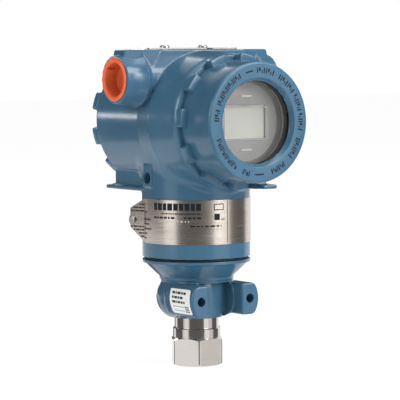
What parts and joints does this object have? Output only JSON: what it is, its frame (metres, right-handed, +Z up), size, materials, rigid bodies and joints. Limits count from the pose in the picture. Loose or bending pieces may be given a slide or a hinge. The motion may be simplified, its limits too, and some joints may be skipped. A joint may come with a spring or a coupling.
{
  "type": "pressure transmitter",
  "caption": "Gage pressure transmitter: hexagon process connection, turning two-chamber housing, round display window, blind rear cover and plugged conduit entries.",
  "frame": {"origin": "on the neck axis, in the plane of the bottom face of the process connection's hexagon", "axes": "+Z up the neck to the housing, -Y out of the display window, +X to the right conduit entry seen from the display side"},
  "size_m": [0.1048, 0.1127, 0.1796],
  "materials": {
    "blue_paint": "satin powder coat over cast aluminium",
    "stainless": "turned stainless steel",
    "plate_steel": "brushed sheet, warm grey",
    "screw_steel": "plain steel",
    "seal_rubber": "black elastomer",
    "orange_plastic": "moulded, slightly translucent",
    "window": "clear, polished",
    "bezel_grey": "fine matt grey",
    "lcd_face": "pale grey green liquid crystal",
    "board": "green laminate",
    "potting": "black potting compound",
    "black_plastic": "moulded",
    "label_film": "white film",
    "cable_film": "amber flat cable"
  },
  "bodies": {
    "module": {"process_connection": "stainless", "isolating_diaphragm": "stainless", "sensor_cell": "stainless", "module_header": "stainless", "header_connector": "black_plastic", "cell_lead_tube": "stainless", "module_seal": "seal_rubber", "sensor_module_casting": "blue_paint", "serial_label": "label_film"},
    "housing": {"housing": "blue_paint", "nameplate": "plate_steel", "nameplate_screw": "screw_steel", "rear_cover_lock_screw": "screw_steel", "front_cover_lock_screw": "screw_steel", "rotation_set_screw": "screw_steel", "display_bezel": "bezel_grey", "lcd_panel": "lcd_face", "lcd_backlight": "black_plastic", "display_board": "board", "display_standoffs": "screw_steel", "electronics_carrier": "potting", "main_board": "board", "sensor_ribbon": "cable_film", "terminal_block": "black_plastic", "terminal_screws": "screw_steel", "internal_ground_screw": "screw_steel", "tag_screw_left": "screw_steel", "tag_screw_right": "screw_steel"},
    "front_seal": {"front_cover_seal": "seal_rubber"},
    "front_cover": {"front_cover": "blue_paint", "window_gasket": "seal_rubber", "window_glass": "window", "glass_retaining_ring": "screw_steel"},
    "rear_seal": {"rear_cover_seal": "seal_rubber"},
    "rear_cover": {"rear_cover": "blue_paint"},
    "tag_plate": {"tag_plate": "plate_steel"},
    "zero_button": {"zero_button": "black_plastic"},
    "span_button": {"span_button": "black_plastic"},
    "left_plug": {"conduit_plug_left": "orange_plastic"},
    "right_plug": {"conduit_plug_right": "orange_plastic"}
  },
  "joints": [
    {"name": "housing_turn", "type": "hinge", "parent": "module", "child": "housing", "pos_m": [0, 0, 0.0615], "axis": [0, 0, 1], "range_deg": [-180, 180]},
    {"name": "front_cover_out", "type": "slide", "parent": "housing", "child": "front_seal", "axis": [0, -1, 0], "range_m": [0, 0.01201]},
    {"name": "front_cover_turn", "type": "hinge", "parent": "front_seal", "child": "front_cover", "pos_m": [0, -0.0343, 0.1375], "axis": [0, -1, 0], "range_deg": [0, 2160]},
    {"name": "rear_cover_out", "type": "slide", "parent": "housing", "child": "rear_seal", "axis": [0, 1, 0], "range_m": [0, 0.01201]},
    {"name": "rear_cover_turn", "type": "hinge", "parent": "rear_seal", "child": "rear_cover", "pos_m": [0, 0.0457, 0.1375], "axis": [0, 1, 0], "range_deg": [0, 2160]},
    {"name": "tag_plate_swing", "type": "hinge", "parent": "housing", "child": "tag_plate", "pos_m": [-0.013, 0.011, 0.1772], "axis": [0, 0, 1], "range_deg": [0, 90]},
    {"name": "zero_press", "type": "slide", "parent": "housing", "child": "zero_button", "axis": [0, 0, -1], "range_m": [0, 0.002], "stiffness_N_per_m": 600, "springref_m": -0.002},
    {"name": "span_press", "type": "slide", "parent": "housing", "child": "span_button", "axis": [0, 0, -1], "range_m": [0, 0.002], "stiffness_N_per_m": 600, "springref_m": -0.002},
    {"name": "left_plug_out", "type": "slide", "parent": "housing", "child": "left_plug", "axis": [-1, 0, 0], "range_m": [0, 0.03]},
    {"name": "right_plug_out", "type": "slide", "parent": "housing", "child": "right_plug", "axis": [1, 0, 0], "range_m": [0, 0.03]}
  ],
  "couplings": [
    {"joint": "front_cover_out", "follows": "front_cover_turn", "m_per_rad": 0.00031831},
    {"joint": "rear_cover_out", "follows": "rear_cover_turn", "m_per_rad": 0.00031831}
  ]
}
